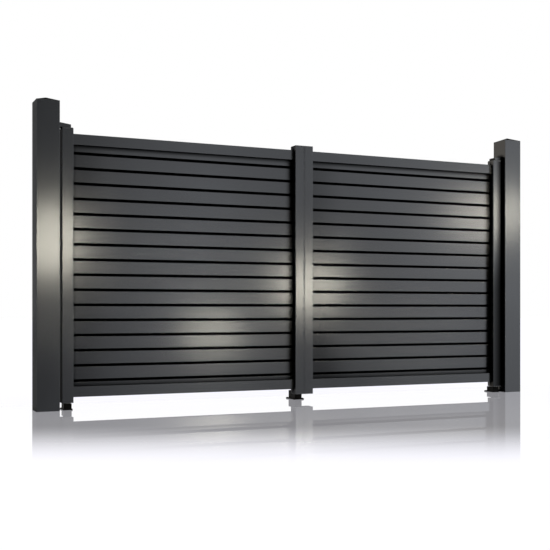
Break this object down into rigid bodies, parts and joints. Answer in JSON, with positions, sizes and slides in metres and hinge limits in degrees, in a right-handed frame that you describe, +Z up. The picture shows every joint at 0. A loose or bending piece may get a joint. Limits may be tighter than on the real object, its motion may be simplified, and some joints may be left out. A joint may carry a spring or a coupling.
{
  "type": "aluminium swing driveway gate",
  "caption": "Double-leaf swing gate of slatted aluminium between square capped posts, with floor pivots and a ground stop.",
  "frame": {"origin": "middle of the left post's foot, at ground level", "axes": "+X from the left post to the right post, +Y from the front, where the leaves open to, to the back, +Z up"},
  "size_m": [3.84, 0.251, 2.038],
  "materials": {
    "frame_coat": "satin anthracite powder coat on aluminium",
    "slat_coat": "satin anthracite powder coat on extruded aluminium slats",
    "cap_coat": "satin anthracite coat on caps and end plates",
    "black_casting": "black coated casting",
    "bare_aluminium": "mill finish",
    "pin_steel": "stainless steel",
    "bush_plastic": "black bearing plastic",
    "buffer_rubber": "black rubber"
  },
  "bodies": {
    "posts": {"left_post": "frame_coat", "left_post_cap": "cap_coat", "left_post_foot": "bare_aluminium", "left_top_bracket": "frame_coat", "left_top_pin": "pin_steel", "left_floor_pivot": "black_casting", "left_floor_pin": "pin_steel", "right_post": "frame_coat", "right_post_cap": "cap_coat", "right_post_foot": "bare_aluminium", "right_top_bracket": "frame_coat", "right_top_pin": "pin_steel", "right_floor_pivot": "black_casting", "right_floor_pin": "pin_steel", "centre_stop": "black_casting", "stop_buffer": "buffer_rubber"},
    "left_leaf": {"left_hinge_stile": "frame_coat", "left_meeting_stile": "frame_coat", "left_meeting_cover": "frame_coat", "left_meeting_caps": "cap_coat", "left_pivot_blocks": "cap_coat", "left_bushes": "bush_plastic", "left_top_rail": "frame_coat", "left_bottom_rail": "frame_coat", "left_slats": "slat_coat", "left_top_slat": "slat_coat", "left_bottom_slat": "slat_coat"},
    "right_leaf": {"right_hinge_stile": "frame_coat", "right_meeting_stile": "frame_coat", "right_meeting_cover": "frame_coat", "right_meeting_caps": "cap_coat", "right_pivot_blocks": "cap_coat", "right_bushes": "bush_plastic", "right_top_rail": "frame_coat", "right_bottom_rail": "frame_coat", "right_slats": "slat_coat", "right_top_slat": "slat_coat", "right_bottom_slat": "slat_coat"}
  },
  "joints": [
    {"name": "left_leaf_swing", "type": "hinge", "parent": "posts", "child": "left_leaf", "pos_m": [0.1325, -0.0105, 0], "axis": [0, 0, -1], "range_deg": [0, 90]},
    {"name": "right_leaf_swing", "type": "hinge", "parent": "posts", "child": "right_leaf", "pos_m": [3.5575, -0.0105, 0], "axis": [0, 0, 1], "range_deg": [0, 90]}
  ]
}
